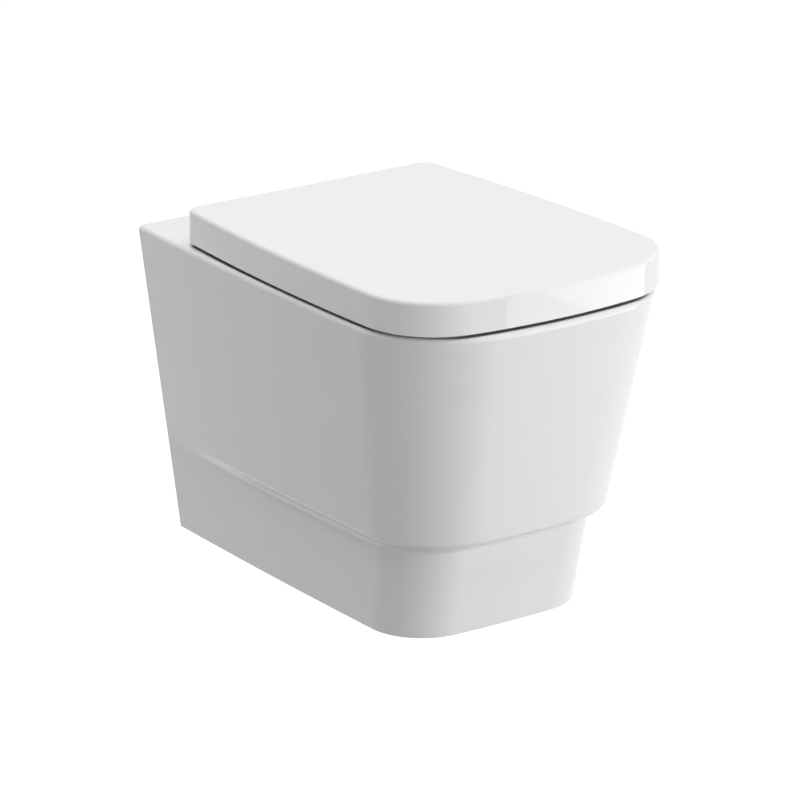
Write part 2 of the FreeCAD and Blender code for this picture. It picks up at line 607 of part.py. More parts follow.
def make_shell():
    """The casting's shell: skin, deck, box rim and the hanging plate with its window for the inlet horn."""
    body = new_body("pan")

    def level(name, text, z, inset=0.0, back=0.0):
        return draw(sketch(body, name, lift=text), pan_outline(z).edges(inset, back))

    # outer skin: straight foot, soft ledge, straight flared upper body
    foot = [level("BaseOutline", "base_z", S.base_z), level("LedgeFoot", "ledge_low", S.ledge_low)]
    loft(body, "Additive", "Foot", foot, True)
    ledge = [level(f"Ledge{k}", f"ledge_low + ledge_part * {k}", S.ledge_low + S.ledge_part * k)
             for k in range(int(S.ledge_sections) + 1)]
    loft(body, "Additive", "Ledge", ledge, False)
    upper = [level("LedgeHead", "ledge_high", S.ledge_high), level("RimOutline", "rim_height", S.rim_height)]
    loft(body, "Additive", "UpperBody", upper, True)
    for name, radius, z in (("RimRound", "rim_round", S.rim_height), ("BaseRound", "base_round", S.base_z)):
        fillet(body, name, radius, lambda edge: lies_at(edge, "Z", z) and not lies_at(edge, "Y", 0))

    # hollow inside the skin, open behind and below, and the hanging plate at the wall
    hollow = [level("HollowBase", "base_z - over", S.base_z - S.over, S.skin, S.over),
              level("HollowFoot", "ledge_low", S.ledge_low, S.skin, S.over),
              level("HollowLedge", "ledge_high", S.ledge_high, S.skin, S.over),
              level("HollowRim", "under_rim", S.under_rim, S.skin, S.over)]
    loft(body, "Subtractive", "Hollow", hollow, True)
    sk = rectangle(sketch(body, "DeckHollow", lift="under_rim"),
                   "-deck_pocket_half", "over", "deck_pocket_half", "-deck_pocket_front")
    pocket(body, sk, "rim_depth - deck_thick")
    sk = polygon(sketch(body, "HangingPlate", "XZ_Plane"),
                 [("-plate_half_low", "-plate_below"), ("-plate_half_top", "rim_height - deck_thick / 2"),
                  ("plate_half_top", "rim_height - deck_thick / 2"), ("plate_half_low", "-plate_below")])
    pad(body, sk, "plate_thick")
    sk = rectangle(sketch(body, "HornWindow", "XZ_Plane"),
                   "-inlet_block_half", "-plate_below - over", "inlet_block_half", "rim_height - deck_thick")
    pocket(body, sk, "plate_thick")

    # the mouth, the box rim's flushing channel, its rinse holes and its port from the horn
    pocket(body, draw(sketch(body, "Mouth", lift="under_rim"), mouth_form()), "rim_depth + over")
    fillet(body, "MouthRound", "mouth_round",
           lambda edge: lies_at(edge, "Z", S.rim_height) and abs(edge.CenterOfMass.x) < S.mouth_half + CLOSE
           and -S.mouth_front - CLOSE < edge.CenterOfMass.y < -S.mouth_back + CLOSE)
    sk = draw(sketch(body, "Channel", lift="under_rim + rim_floor"),
              mouth_form(S.lip_wall) + mouth_form(S.lip_wall + S.channel_width))
    pocket(body, sk, "rim_depth - rim_floor - deck_thick")
    sk = sketch(body, "RinseHoles", lift="under_rim - over")
    row = Part.Wire([edge.toShape() for edge in mouth_form((S.lip_wall + S.overhang) / 2)])
    for centre in row.discretize(Number=int(S.rinse_holes) + 1)[1:]:
        sk.addGeometry(Part.Circle(centre, Vector(0, 0, 1), S.rinse_hole_r), False)
    pocket(body, sk, "rim_floor + 2 * over")
    sk = circle(sketch(body, "RimPort", "XZ_Plane", "deck_pocket_front - over"), "feed_port_r", "0",
                "channel_z")
    pocket(body, sk, "mouth_back - lip_wall - channel_width - deck_pocket_front + 2 * over")

    # holes for the seat and for the wall fixings
    for side, sign in SIDES:
        sk = circle(sketch(body, f"SeatHole{side}", lift="rim_height - deck_thick - over"),
                    "deck_hole_r", f"{sign} * hinge_gap / 2", "bolt_y")
        pocket(body, sk, "deck_thick + 2 * over")
        sk = circle(sketch(body, f"FixingHole{side}", "XZ_Plane"), "fixing_hole_r", f"{sign} * fixing_gap / 2")
        pocket(body, sk, "plate_thick + over")


def make_horn():
    """The inlet horn: its block in the plate's window, the tube to the rim, and the web down to the outlet."""
    body = new_body("inlet_horn")
    sk = rectangle(sketch(body, "HornBlock", "XZ_Plane"),
                   "-inlet_block_half", "-plate_below", "inlet_block_half", "rim_height - deck_thick")
    pad(body, sk, "plate_thick")
    sk = circle(sketch(body, "Horn", "XZ_Plane"), "inlet_r + inlet_wall", "0", "inlet_rise")
    pad(body, sk, "deck_pocket_front")
    sk = rectangle(sketch(body, "HornWeb", "YZ_Plane", "-web_thick / 2"),
                   "0", "-plate_below", "-deck_pocket_front", "inlet_rise")
    pad(body, sk, "web_thick")
    sk = rectangle(sketch(body, "HornTop", lift="rim_height - deck_thick"),
                   "-inlet_block_half", "over", "inlet_block_half", "-deck_pocket_front - over")
    pocket(body, sk, "inlet_wall")
    bores = [("InletBore", "inlet_r", "inlet_rise", "inlet_depth + inlet_recess"),
             ("LipSeat", "seal_lip_r + over", "inlet_rise", "inlet_recess"),
             ("Feed", "feed_r", "inlet_rise", "deck_pocket_front - bowl_wall")]
    for name, radius, z, depth in bores:
        pocket(body, circle(sketch(body, name, "XZ_Plane"), radius, "0", z), depth)
    sk = circle(sketch(body, "HornPort", "XZ_Plane", "deck_pocket_front - bowl_wall - over"), "feed_port_r", "0",
                "channel_z")
    pocket(body, sk, "bowl_wall + 2 * over")


def trap_path():
    """The trap's axis from the sump over the weir to the outlet, in the plane (y, z)."""
    corners = [Vector(-S.sump_out, -S.sump_drop, 0), Vector(-S.dip_out, -S.sump_drop, 0),
               Vector(-S.weir_out, -S.outlet_drop, 0),
               Vector(-S.spigot_recess - S.bowl_wall, -S.outlet_drop, 0)]
    edges = []
    start = corners[0]
    for before, at, after in zip(corners, corners[1:], corners[2:]):
        come, go = (at - before).normalize(), (after - at).normalize()
        half = math.acos(come.dot(go)) / 2
        trim = S.trap_bend * math.tan(half)
        first, last = at - come * trim, at + go * trim
        middle = at + (go - come).normalize() * S.trap_bend * (1 / math.cos(half) - 1)
        edges += [Part.LineSegment(start, first), Part.Arc(first, middle, last)]
        start = last
    edges.append(Part.LineSegment(start, corners[-1]))
    return edges


def trap_tube(name, radius):
    """A round tube along the trap's axis, its bends true tori."""
    upright_plane = FreeCAD.Matrix(0, 0, 1, 0, 1, 0, 0, 0, 0, 1, 0, 0, 0, 0, 0, 1)
    spine = Part.Wire([edge.toShape() for edge in trap_path()])
    spine.transformShape(upright_plane)
    ring = Part.Circle(Vector(0, -S.sump_out, -S.sump_drop), Vector(0, 1, 0), radius)
    feature = doc.addObject("Part::Feature", name)
    feature.Shape = spine.makePipe(Part.Face(Part.Wire([ring.toShape()])))
    return feature


def make_bowl():
    """The bowl with its sump, the trap's tube, the web and the outlet spigot, and the waterway through them."""
    body = helper_body("BowlOutside")
    outer = [draw(sketch(body, f"BowlOuter{k}", lift=f"{z}"), ring_edges(*outline, grow=S.bowl_wall))
             for k, (z, outline) in enumerate(bowl_sections(0, S.bowl_wall))]
    loft(body, "Additive", "BowlWall", outer, False)
    sk = rectangle(sketch(body, "Web", "YZ_Plane", "-web_thick / 2"),
                   "-spigot_free - spigot_recess", "-outlet_drop", "-sump_back", "-plate_below")
    pad(body, sk, "web_thick")
    sk = circle(sketch(body, "Spigot", "XZ_Plane", "spigot_recess"), "outlet_r", "0", "-outlet_drop")
    pad(body, sk, "spigot_free")

    space = helper_body("BowlSpace")
    inner = [draw(sketch(space, f"BowlInner{k}", lift=f"{z}"), ring_edges(*outline))
             for k, (z, outline) in enumerate(bowl_sections(S.over))]
    loft(space, "Additive", "BowlInside", inner, False)
    cast = less("BowlAndTrap", join("BowlAndTube", body, trap_tube("TrapTube", S.trap_r + S.bowl_wall)),
                space, trap_tube("TrapSpace", S.trap_r))
    doc.recompute()
    node = new_body("bowl_and_trap")
    node.BaseFeature = cast
    sk = circle(sketch(node, "OutletBore", "XZ_Plane"), "outlet_bore_r", "0", "-outlet_drop")
    pocket(node, sk, "spigot_free - bowl_wall")


# ---------------------------------------------------------------- wall fixing and inlet seal

def make_wall_fixings():
    """Two plastic sleeves in the hanging plate, each with a washer and a nut on the side of the room."""
    sleeves, washers, nuts = [], [], []
    for side, sign in SIDES:
        x = f"{sign} * fixing_gap / 2"
        tube = cylinder(f"SleeveTube{side}", "fixing_hole_r - fixing_play", "plate_thick", x, along="-Y")
        flange = cylinder(f"SleeveFlange{side}", "sleeve_flange_r", "sleeve_flange", x, "-plate_thick",
                          along="-Y")
        bore = cylinder(f"SleeveBore{side}", "fixing_bore_r", "plate_thick + sleeve_flange + 2 * over", x,
                        "over", along="-Y")
        sleeves.append(less(f"Sleeve{side}", join(f"SleeveBody{side}", tube, flange), bore))
        back = "-plate_thick - sleeve_flange"
        disc = cylinder(f"WasherDisc{side}", "fixing_washer_r", "fixing_washer", x, back, along="-Y")
        hole = cylinder(f"WasherHole{side}", "fixing_bore_r", "fixing_washer + 2 * over", x, f"{back} + over",
                        along="-Y")
        washers.append(less(f"Washer{side}", disc, hole))
        back = f"{back} - fixing_washer"
        blank = hexagon(f"NutBody{side}", "fixing_nut_flat", "fixing_nut_high", x, back, along="-Y")
        thread = cylinder(f"NutThread{side}", "fixing_nut_r", "fixing_nut_high + 2 * over", x, f"{back} + over",
                          along="-Y")
        nuts.append(less(f"Nut{side}", blank, thread))
    piece("fixing_sleeves", *sleeves)
    piece("fixing_washers", *washers)
    piece("fixing_nuts", *nuts)


def make_inlet_seal():
    """The rubber seal in the inlet horn: a lip at the mouth, a tapered end and the bore for the flush pipe."""
    body = new_body("inlet_seal")
    outside = "inlet_rise + inlet_r - seal_play"
    sk = polygon(sketch(body, "SealProfile", "YZ_Plane"),
                 [("-inlet_recess + seal_lip", "inlet_rise + seal_bore_r"),
                  ("-inlet_recess + seal_lip", "inlet_rise + seal_lip_r"),
                  ("-inlet_recess", "inlet_rise + seal_lip_r"),
                  ("-inlet_recess", outside),
                  ("-inlet_recess - seal_straight", outside),
                  ("-inlet_recess - seal_length", f"{outside} - seal_taper"),
                  ("-inlet_recess - seal_length", "inlet_rise + seal_bore_r")])
    axis = sketch(body, "SealAxis", "YZ_Plane")
    axis.addGeometry(Part.LineSegment(Vector(-S.inlet_depth, S.inlet_rise, 0), Vector(0, S.inlet_rise, 0)), False)
    turned = body.newObject("PartDesign::Revolution", "SealTurned")
    turned.Profile = sk
    turned.ReferenceAxis = (axis, ["Edge1"])
    turned.Angle = 360


# ---------------------------------------------------------------- cover and seat ring

COVER = Outline(S.cover_half_back, S.cover_half_wide, S.cover_wide_at, S.cover_reach, S.cover_corner,
                S.cover_front)


def buffer_places():
    """Where the four buffers of the seat stand, and those of the cover above them."""
    for alias in ("buffer_front", "buffer_rear"):
        half = COVER.half_width(-getattr(S, alias)) - S.buffer_inset
        for sign in (-1, 1):
            yield f"{sign * half}", f"-{alias}"


def screw_places(side, sign, inner):
    """The two lug screws of one side: of the cover's inner lug or of the seat's outer lug."""
    middle = "arm_inner - side_play - lug_width / 2" if inner else "arm_outer + side_play + lug_width / 2"
    owner = "lid" if inner else "seat"
    for k in range(2):
        yield f"{side}{k}", f"{sign} * ({middle})", f"axis_y - {owner}_screw_out - {k} * {owner}_screw_gap"


def make_lid():
    """The wrap-over cover: a flat top with a skirt all round, hollow below, notched for the hinges."""
    body = new_body("lid")
    sk = draw(sketch(body, "CoverOutline", lift="cover_low"), COVER.edges(0, -S.cover_back))
    pad(body, sk, "cover_height")
    fillet(body, "CoverCorners", "cover_back_corner",
           lambda edge: lies_at(edge, "Y", -S.cover_back) and upright(edge))
    fillet(body, "CoverRound", "cover_round", lambda edge: lies_at(edge, "Z", S.cover_top))
    fillet(body, "CoverEdge", "cover_edge", lambda edge: lies_at(edge, "Z", S.cover_low))
    sk = draw(sketch(body, "CoverHollow", lift="cover_low"),
              COVER.edges(S.cover_wall, -S.cover_back - S.cover_wall))
    pocket(body, sk, "cover_height - cover_wall")
    fillet(body, "HollowCorners", "cover_back_corner - cover_wall",
           lambda edge: lies_at(edge, "Y", -S.cover_back - S.cover_wall) and upright(edge))
    for side, sign in SIDES:
        sk = rectangle(sketch(body, f"HingeNotch{side}", lift="cover_low"),
                       f"{sign} * notch_from", "-cover_back - cover_wall - over",
                       f"{sign} * notch_to", "-cover_back + over")
        pocket(body, sk, "cover_height - cover_wall")
    for k, (x, y) in enumerate(buffer_places()):
        sk = circle(sketch(body, f"CoverStemHole{k}", lift="cover_under"), "buffer_stem_r", x, y)
        pocket(body, sk, "lid_stem + spare")
    for side, sign in SIDES:
        for tag, x, y in screw_places(side, sign, True):
            sk = circle(sketch(body, f"CoverScrew{tag}", lift="cover_under"), "screw_r + pin_play", x, y)
            pocket(body, sk, "screw_bite + spare")


def make_seat_ring():
    """The seat ring: a crowned skin over a hollow underside, with bosses for its buffers."""
    body = new_body("seat_ring")
    edge_in = S.cover_wall + S.seat_gap
    hole = (S.seat_hole_half, S.seat_hole_back, S.seat_hole_front, S.mouth_side_r, S.mouth_end_r,
            S.mouth_corner)
    sk = draw(sketch(body, "SeatOutline", lift="seat_low"),
              COVER.edges(edge_in, -S.seat_back) + ring_edges(*hole))
    pad(body, sk, "seat_height")
    fillet(body, "SeatCorners", "seat_round", lambda edge: lies_at(edge, "Y", -S.seat_back) and upright(edge))
    fillet(body, "SeatRound", "seat_round", lambda edge: lies_at(edge, "Z", S.seat_top))
    sk = draw(sketch(body, "SeatHollow", lift="seat_low"),
              COVER.edges(edge_in + S.seat_wall, -S.seat_back - S.seat_wall)
              + ring_edges(*hole, grow=S.seat_wall))
    pocket(body, sk, "seat_height - seat_wall")
    for side, sign in SIDES:
        sk = rectangle(sketch(body, f"SeatNotch{side}", lift="seat_low"),
                       f"{sign} * seat_notch_from", "-seat_back - seat_wall - over",
                       f"{sign} * seat_notch_to", "-seat_back + over")
        pocket(body, sk, "seat_height - seat_wall")
    for k, (x, y) in enumerate(buffer_places()):
        pad(body, circle(sketch(body, f"Boss{k}", lift="seat_low + boss_lift"), "boss_r", x, y),
            "seat_height - seat_wall")
        sk = circle(sketch(body, f"StemHole{k}", lift="seat_low"), "buffer_stem_r + pin_play", x, y)
        pocket(body, sk, "buffer_stem + over")
    for side, sign in SIDES:
        for tag, x, y in screw_places(side, sign, False):
            sk = circle(sketch(body, f"SeatScrew{tag}", lift="seat_under"), "screw_r + pin_play", x, y)
            pocket(body, sk, "screw_bite + spare")


def make_buffers():
    """Rubber buffers with a stem each: four under the seat's bosses and four under the cover's top."""
    seat, lid = [], []
    for k, (x, y) in enumerate(buffer_places()):
        low, high = "rim_height + buffer_play", "seat_low + boss_lift"
        head = cone(f"BufferHead{k}", "buffer_r - buffer_taper", "buffer_r", f"{high} - ({low})", x, y, low)
        stem = cylinder(f"BufferStem{k}", "buffer_stem_r", "buffer_stem + over", x, y, f"{high} - over")
        seat.append(join(f"SeatBuffer{k}", head, stem))
        low, high = "seat_top + buffer_play", "cover_under"
        head = cone(f"CoverBufferHead{k}", "lid_buffer_r - lid_buffer_taper", "lid_buffer_r",
                    f"{high} - ({low})", x, y, low)
        stem = cylinder(f"CoverBufferStem{k}", "buffer_stem_r - pin_play", "lid_stem + over", x, y,
                        f"{high} - over")
        lid.append(join(f"LidBuffer{k}", head, stem))
    piece("seat_buffers", *seat)
    piece("lid_buffers", *lid)


# ---------------------------------------------------------------- hinges

def across(sign, near, length):
    """Lower end in x of what lies between near and near + length from the middle, on the chosen side."""
    return near if sign == "1" else f"-({near}) - ({length})"


def make_hinge_arm(side, sign, damper_at):
    """A bright arm: a foot on the deck, a neck, and the barrel that holds a damper and a pin on the axis."""
    body = new_body(f"hinge_arm_{side.lower()}")
    start = across(sign, "arm_inner", "arm_width")
    sk = circle(sketch(body, f"Barrel{side}", "YZ_Plane", start), "arm_r", "axis_y", "axis_z")
    pad(body, sk, "arm_width")
    sk = polygon(sketch(body, f"Neck{side}", "YZ_Plane", start),
                 [("axis_y", "axis_z + neck_half"), ("axis_y", "axis_z - neck_half"),
                  ("axis_y - foot_from", "axis_z - neck_half"), ("axis_y - foot_from", "pad_top"),
                  ("axis_y - foot_to", "pad_top"), ("axis_y - foot_to", "foot_top"),
                  ("axis_y - foot_from - neck_thick - neck_slope", "foot_top"),
                  ("axis_y - foot_from - neck_thick", "axis_z - neck_slope"),
                  ("axis_y - arm_r * cos(45)", "axis_z + arm_r * sin(45)")])
    pad(body, sk, "arm_width")
    sk = circle(sketch(body, f"FootHole{side}", lift="pad_top - over"), "bolt_r + bolt_play",
                f"{sign} * hinge_gap / 2", "bolt_y")
    pocket(body, sk, "foot_thick + 2 * over")
    # the wide bore takes the damper from the side that it drives, the narrow one the pin from the other side
    room = "damper_length + 2 * damper_end"
    low = across(sign, damper_at, room)
    sk = circle(sketch(body, f"DamperBore{side}", "YZ_Plane", low), "damper_r + pin_play", "axis_y", "axis_z")
    pocket(body, sk, room)
    sk = circle(sketch(body, f"PinBore{side}", "YZ_Plane", start), "pin_r + pin_play", "axis_y", "axis_z")
    pocket(body, sk, "arm_width")


def make_lug(side, sign, inner, driven):
    """A plastic lug and its screws: a barrel on the axis and a plate forward under the cover or the seat."""
    owner, top = ("lid", "cover_under") if inner else ("seat", "seat_under")
    name = f"{owner.capitalize()}Lug{side}"
    reach = f"{owner}_lug_reach"
    low = across(sign, "arm_inner - side_play - lug_width" if inner else "arm_outer + side_play", "lug_width")
    solids = [cylinder(f"{name}Barrel", "lug_r", "lug_width", low, "axis_y", "axis_z", along="X"),
              block(f"{name}Plate", "lug_width", reach, "lug_plate", low, f"axis_y - {reach}",
                    f"{top} - lug_plate")]
    if inner:
        solids.append(block(f"{name}Neck", "lug_width", "lug_neck", f"{top} - axis_z", low,
                            "axis_y - lug_neck / 2", "axis_z"))
    bore = cylinder(f"{name}Bore", "pin_r + pin_play", "lug_width + 2 * over", f"{low} - over", "axis_y",
                    "axis_z", along="X")
    if driven:
        flats = block(f"{name}Flats", "lug_width + 2 * over", "2 * pin_r + 2 * over",
                      "shaft_flat + 2 * pin_play", f"{low} - over", "axis_y - pin_r - over",
                      "axis_z - shaft_flat / 2 - pin_play")
        bore = common(f"{name}Slot", bore, flats)
    screws, holes = [], []
    for tag, x, y in screw_places(side, sign, inner):
        shank = cylinder(f"{name}Shank{tag}", "screw_r", "lug_plate + screw_bite + over", x, y,
                         f"{top} - lug_plate - over")
        head = cylinder(f"{name}Head{tag}", "screw_head_r", "screw_head", x, y,
                        f"{top} - lug_plate - screw_head")
        screws.append(join(f"{name}Screw{tag}", shank, head))
        holes.append(cylinder(f"{name}Hole{tag}", "screw_r + pin_play", "lug_plate + 2 * over", x, y,
                              f"{top} - lug_plate - over"))
    piece(f"{owner}_hinge_lug_{side.lower()}", less(name, join(f"{name}Body", *solids), bore, *holes))
    return screws


def make_damper(side, sign, driven, held, drives_lid):
    """A soft-close damper with its flatted shaft for one lug, and the plain pin for the lug opposite."""
    shaft_length = "damper_bore + lug_width + side_play - over"
    pin_length = "arm_width - damper_length - over + side_play + lug_width"
    if drives_lid:
        can_at, mouth_at = "arm_inner + damper_end", "arm_inner + damper_end"
        shaft_at = "arm_inner - side_play - lug_width + pin_end"
        pin_at = "arm_inner + damper_length + over - pin_end"
    else:
        can_at, mouth_at = "arm_outer - damper_length - damper_end", "arm_outer - damper_bore - damper_end"
        shaft_at = "arm_outer - damper_bore + pin_end"
        pin_at = "arm_inner - side_play - lug_width + pin_end"
    can = cylinder(f"DamperCan{side}", "damper_r", "damper_length", across(sign, can_at, "damper_length"),
                   "axis_y", "axis_z", along="X")
    hole = cylinder(f"DamperHole{side}", "pin_r + 2 * pin_play", "damper_bore",
                    across(sign, mouth_at, "damper_bore"), "axis_y", "axis_z", along="X")
    piece(f"{driven}_damper", less(f"Damper{side}", can, hole))
    low = across(sign, shaft_at, shaft_length)
    rod = cylinder(f"ShaftRod{side}", "pin_r", shaft_length, low, "axis_y", "axis_z", along="X")
    flats = block(f"ShaftFlats{side}", shaft_length, "2 * pin_r", "shaft_flat", low, "axis_y - pin_r",
                  "axis_z - shaft_flat / 2")
    piece(f"{driven}_damper_shaft", common(f"Shaft{side}", rod, flats))
    piece(f"{held}_hinge_pin", cylinder(f"Pin{side}", "pin_r", pin_length, across(sign, pin_at, pin_length),
                                        "axis_y", "axis_z", along="X"))


def make_hinge_bolt(side, sign):
    """The bolt through foot, pad and deck, the pad, and the expanding plug with its nut under the deck."""
    x = f"{sign} * hinge_gap / 2"
    shank = cylinder(f"BoltShank{side}", "bolt_r", "bolt_length + over", x, "bolt_y", "foot_top - bolt_length")
    head = cylinder(f"BoltHead{side}", "bolt_head_r", "bolt_head", x, "bolt_y", "foot_top")
    key = hexagon(f"BoltKey{side}", "bolt_key", "bolt_key_deep + over", x, "bolt_y",
                  "foot_top + bolt_head - bolt_key_deep")
    bolt = less(f"Bolt{side}", join(f"BoltBody{side}", shank, head), key)
    sheet_pad = block(f"PadSheet{side}", "arm_width", "foot_to - foot_from", "pad_thick",
                      f"{x} - arm_width / 2", "axis_y - foot_to", "rim_height")
    hole = cylinder(f"PadHole{side}", "bolt_r + bolt_play", "pad_thick + 2 * over", x, "bolt_y",
                    "rim_height - over")
    rubber_pad = less(f"Pad{side}", sheet_pad, hole)
    tube = cylinder(f"PlugTube{side}", "deck_hole_r - plug_play", "plug_length", x, "bolt_y", "plug_low")
    hole = cylinder(f"PlugHole{side}", "bolt_r + plug_play", "plug_length + 2 * over", x, "bolt_y",
                    "plug_low - over")
    plug = less(f"Plug{side}", tube, hole)
    body = hexagon(f"PlugNutBody{side}", "plug_nut_flat", "plug_nut_high", x, "bolt_y",
                   "plug_low - plug_nut_high")
    thread = cylinder(f"PlugNutThread{side}", "bolt_r + pin_play", "plug_nut_high + 2 * over", x, "bolt_y",
                      "plug_low - plug_nut_high - over")
    return bolt, rubber_pad, plug, less(f"PlugNut{side}", body, thread)


def make_hinges():
    """Both hinges. The left arm's damper brakes the cover, the right arm's the seat."""
    lid_screws, seat_screws, sets = [], [], []
    for side, sign in SIDES:
        drives_lid = side == "Left"
        driven, held = ("lid", "seat") if drives_lid else ("seat", "lid")
        damper_at = "arm_inner" if drives_lid else "arm_outer - damper_length - 2 * damper_end"
        make_hinge_arm(side, sign, damper_at)
        lid_screws += make_lug(side, sign, True, drives_lid)
        seat_screws += make_lug(side, sign, False, not drives_lid)
        make_damper(side, sign, driven, held, drives_lid)
        sets.append(make_hinge_bolt(side, sign))
    piece("lid_hinge_screws", *lid_screws)
    piece("seat_hinge_screws", *seat_screws)
    for name, alike in zip(("hinge_bolts", "hinge_pads", "expanding_plugs", "plug_nuts"), zip(*sets)):
        piece(name, *alike)


# ---------------------------------------------------------------- make, check and write

make_shell()
make_horn()
make_bowl()
make_wall_fixings()
make_inlet_seal()
make_lid()
make_seat_ring()
make_buffers()
make_hinges()
doc.recompute()

failed = [obj.Name for obj in doc.Objects if "Invalid" in obj.State or "Error" in obj.State]
if failed:
    raise RuntimeError(f"these objects did not rebuild: {failed}")
for name, obj in PARTS.items():
    if obj.Shape.isNull() or not obj.Shape.isValid():
        raise RuntimeError(f"{name} has no sound shape")

os.makedirs("parts", exist_ok=True)
for name, obj in PARTS.items():
    obj.Shape.exportStep(f"parts/{name}.step")
    print(f"{name}: {len(obj.Shape.Solids)} solids, {obj.Shape.Volume / 1000:.1f} cm3")
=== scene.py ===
import json
import math

import bpy
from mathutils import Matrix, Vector


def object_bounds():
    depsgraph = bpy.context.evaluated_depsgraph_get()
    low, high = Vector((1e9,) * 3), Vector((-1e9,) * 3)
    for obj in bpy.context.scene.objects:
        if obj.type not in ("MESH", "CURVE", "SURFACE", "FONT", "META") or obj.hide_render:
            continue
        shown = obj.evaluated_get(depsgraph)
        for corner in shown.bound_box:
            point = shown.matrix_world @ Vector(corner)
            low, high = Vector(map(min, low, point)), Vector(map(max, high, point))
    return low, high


# Wall hung toilet: white glazed china pan under a white wrap-over seat and cover.
# Metres. The wall is the plane y = 0, the pan reaches out towards -Y, +Z is up.

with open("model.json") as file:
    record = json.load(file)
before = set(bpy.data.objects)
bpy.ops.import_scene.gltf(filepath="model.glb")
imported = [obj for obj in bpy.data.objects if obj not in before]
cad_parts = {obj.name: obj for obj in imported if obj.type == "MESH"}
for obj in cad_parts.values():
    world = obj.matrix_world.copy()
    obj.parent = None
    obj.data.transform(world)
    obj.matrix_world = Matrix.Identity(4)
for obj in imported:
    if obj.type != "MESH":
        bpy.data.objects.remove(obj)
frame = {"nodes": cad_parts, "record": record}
cad_lo, cad_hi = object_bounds()
scene = bpy.context.scene


# ---------------------------------------------------------------- building blocks of the materials

# The stretch of a noise over which a ramp goes from its low end to its high end.
GENTLE, CRISP = (0.3, 0.7), (0.35, 0.65)


def rgba(colour):
    """An opaque colour from its three shares, or from one grey level."""
    return (*colour, 1) if isinstance(colour, tuple) else (colour, colour, colour, 1)


class Look:
    """A material in the making, with short ways to add its nodes."""

    def __init__(self, name):
        self.mat = bpy.data.materials.new(name)
        self.mat.use_nodes = True
        self.nodes, self.links = self.mat.node_tree.nodes, self.mat.node_tree.links
        self.shader = self.nodes["Principled BSDF"]
        self.place = self.nodes.new("ShaderNodeTexCoord").outputs["Object"]

    def feed(self, **inputs):
        """Leads each output to the shader's input of that name, written with _ for a space."""
        for name, output in inputs.items():
            self.links.new(output, self.shader.inputs[name.replace("_", " ")])

    def stretched(self, lines):
        """The place, drawn out along each axis where lines is small."""
        node = self.nodes.new("ShaderNodeMapping")
        node.inputs["Scale"].default_value = lines
        self.links.new(self.place, node.inputs["Vector"])
        return node.outputs["Vector"]

    def noise(self, scale, detail=2, roughness=0.5, place=None):
        """Soft noise from 0 to 1 with about that many waves to the metre."""
        node = self.nodes.new("ShaderNodeTexNoise")
        node.inputs["Scale"].default_value = scale
        node.inputs["Detail"].default_value = detail
        node.inputs["Roughness"].default_value = roughness
        self.links.new(place or self.place, node.inputs["Vector"])
        return node.outputs["Fac"]

    def ramp(self, value, stretch, low, high):
        """The low colour below the stretch of values, the high one above it, a blend within."""
        node = self.nodes.new("ShaderNodeValToRGB")
        for stop, position, colour in zip(node.color_ramp.elements, stretch, (low, high)):
            stop.position, stop.color = position, rgba(colour)
        self.links.new(value, node.inputs["Fac"])
        return node.outputs["Color"]

    def bump(self, value, strength, height):
        """A normal that makes the value a relief of that height in metres."""
        node = self.nodes.new("ShaderNodeBump")
        node.inputs["Strength"].default_value = strength
        node.inputs["Distance"].default_value = height
        self.links.new(value, node.inputs["Height"])
        return node.outputs["Normal"]

    def mix(self, first, second, share):
        """The first colour, with that share of the second."""
        node = self.nodes.new("ShaderNodeMix")
        node.data_type = "RGBA"
        self.links.new(share, node.inputs["Factor"])
        self.links.new(first, node.inputs["A"])
        self.links.new(second, node.inputs["B"])
        return node.outputs["Result"]

    def multiply(self, first, second):
        """Two colours multiplied."""
        node = self.nodes.new("ShaderNodeMix")
        node.data_type, node.blend_type = "RGBA", "MULTIPLY"
        node.inputs["Factor"].default_value = 1
        self.links.new(first, node.inputs["A"])
        self.links.new(second, node.inputs["B"])
        return node.outputs["Result"]

    def textured(self, texture, colour, shade, roughness, spread, strength, height, stretch=GENTLE):
        """Colour, gloss and relief from one texture.

        At the texture's low end the colour is darker by the factor shade; spread holds the factors of the
        roughness at both ends."""
        low_rough, high_rough = (factor * roughness for factor in spread)
        self.feed(Base_Color=self.ramp(texture, stretch, tuple(shade * c for c in colour), colour),
                  Roughness=self.ramp(texture, GENTLE, low_rough, high_rough),
                  Normal=self.bump(texture, strength, height))


# ---------------------------------------------------------------- china

WHITE, THIN_GLAZE = (0.93, 0.93, 0.925), (0.915, 0.915, 0.91)
PALE_CLAY, DARK_CLAY = (0.86, 0.845, 0.81), (0.78, 0.76, 0.72)
GLAZE_ROUGH, CLAY_ROUGH = 0.03, 0.75
GLAZE_WAVE, GLAZE_WAVE_HEIGHT = 14, 0.0004
CLAY_GRAIN = 900
WAVE_STRENGTH = 0.15     # of the slow waves in glaze and plastic

BARE_DEPTH = 0.002       # the clay is bare up to half of this from the wall, the glaze whole beyond it

# Painted shade: the glaze's colour is darkened in narrow slits, such as the joint under the cover, where
# shade falls.
SLIT_REACH = 0.007       # how far a face looks about for another that shades it
SLIT_OPEN = (0.42, 0.7)  # shares of free view: full painted shade at the first, none at the second
SLIT_SHADE = 0.04        # what is left of the colour in full painted shade


def painted_slit_shade(look):
    """Painted shade: 1 in the open, falling to SLIT_SHADE in a narrow slit, such as the joint under the
    cover, where shade falls.
    """
    near = look.nodes.new("ShaderNodeAmbientOcclusion")
    near.inputs["Distance"].default_value = SLIT_REACH
    return look.ramp(near.outputs["AO"], SLIT_OPEN, SLIT_SHADE, 1)


